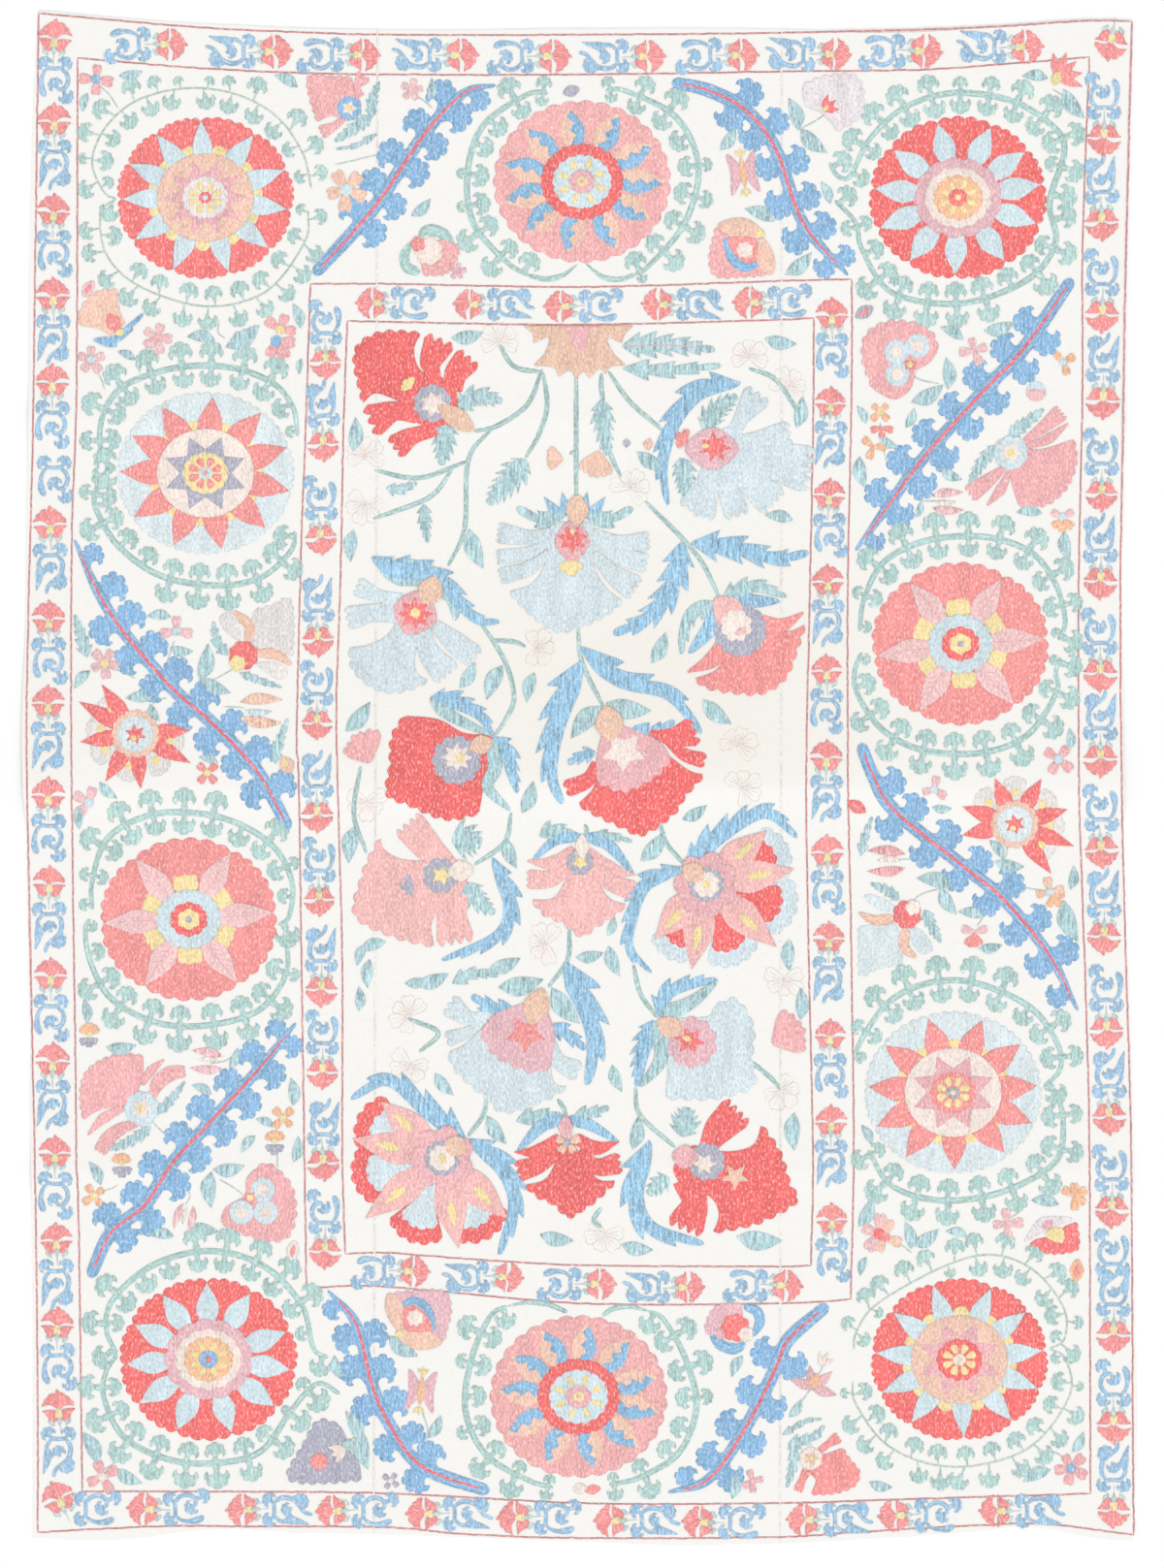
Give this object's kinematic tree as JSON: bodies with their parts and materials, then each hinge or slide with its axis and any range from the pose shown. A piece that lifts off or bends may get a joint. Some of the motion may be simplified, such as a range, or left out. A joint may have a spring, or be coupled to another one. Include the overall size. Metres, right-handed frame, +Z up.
{
  "type": "suzani embroidered textile",
  "caption": "Large flat-lying suzani cloth of sewn loom widths, embroidered with rosettes, leafy branches and a flowering central field inside narrow borders.",
  "frame": {"origin": "centre of the cloth's bounding rectangle, on the surface it lies on", "axes": "X across the loom widths, Y along the cloth towards its upper edge, Z up through the embroidered face"},
  "size_m": [1.7224, 2.3703, 0.0075],
  "materials": {
    "cotton_ground": "matte plain-woven cotton"
  },
  "bodies": {
    "root": {"panel_left": "cotton_ground", "panel_centre": "cotton_ground", "panel_right": "cotton_ground"}
  },
  "joints": []
}
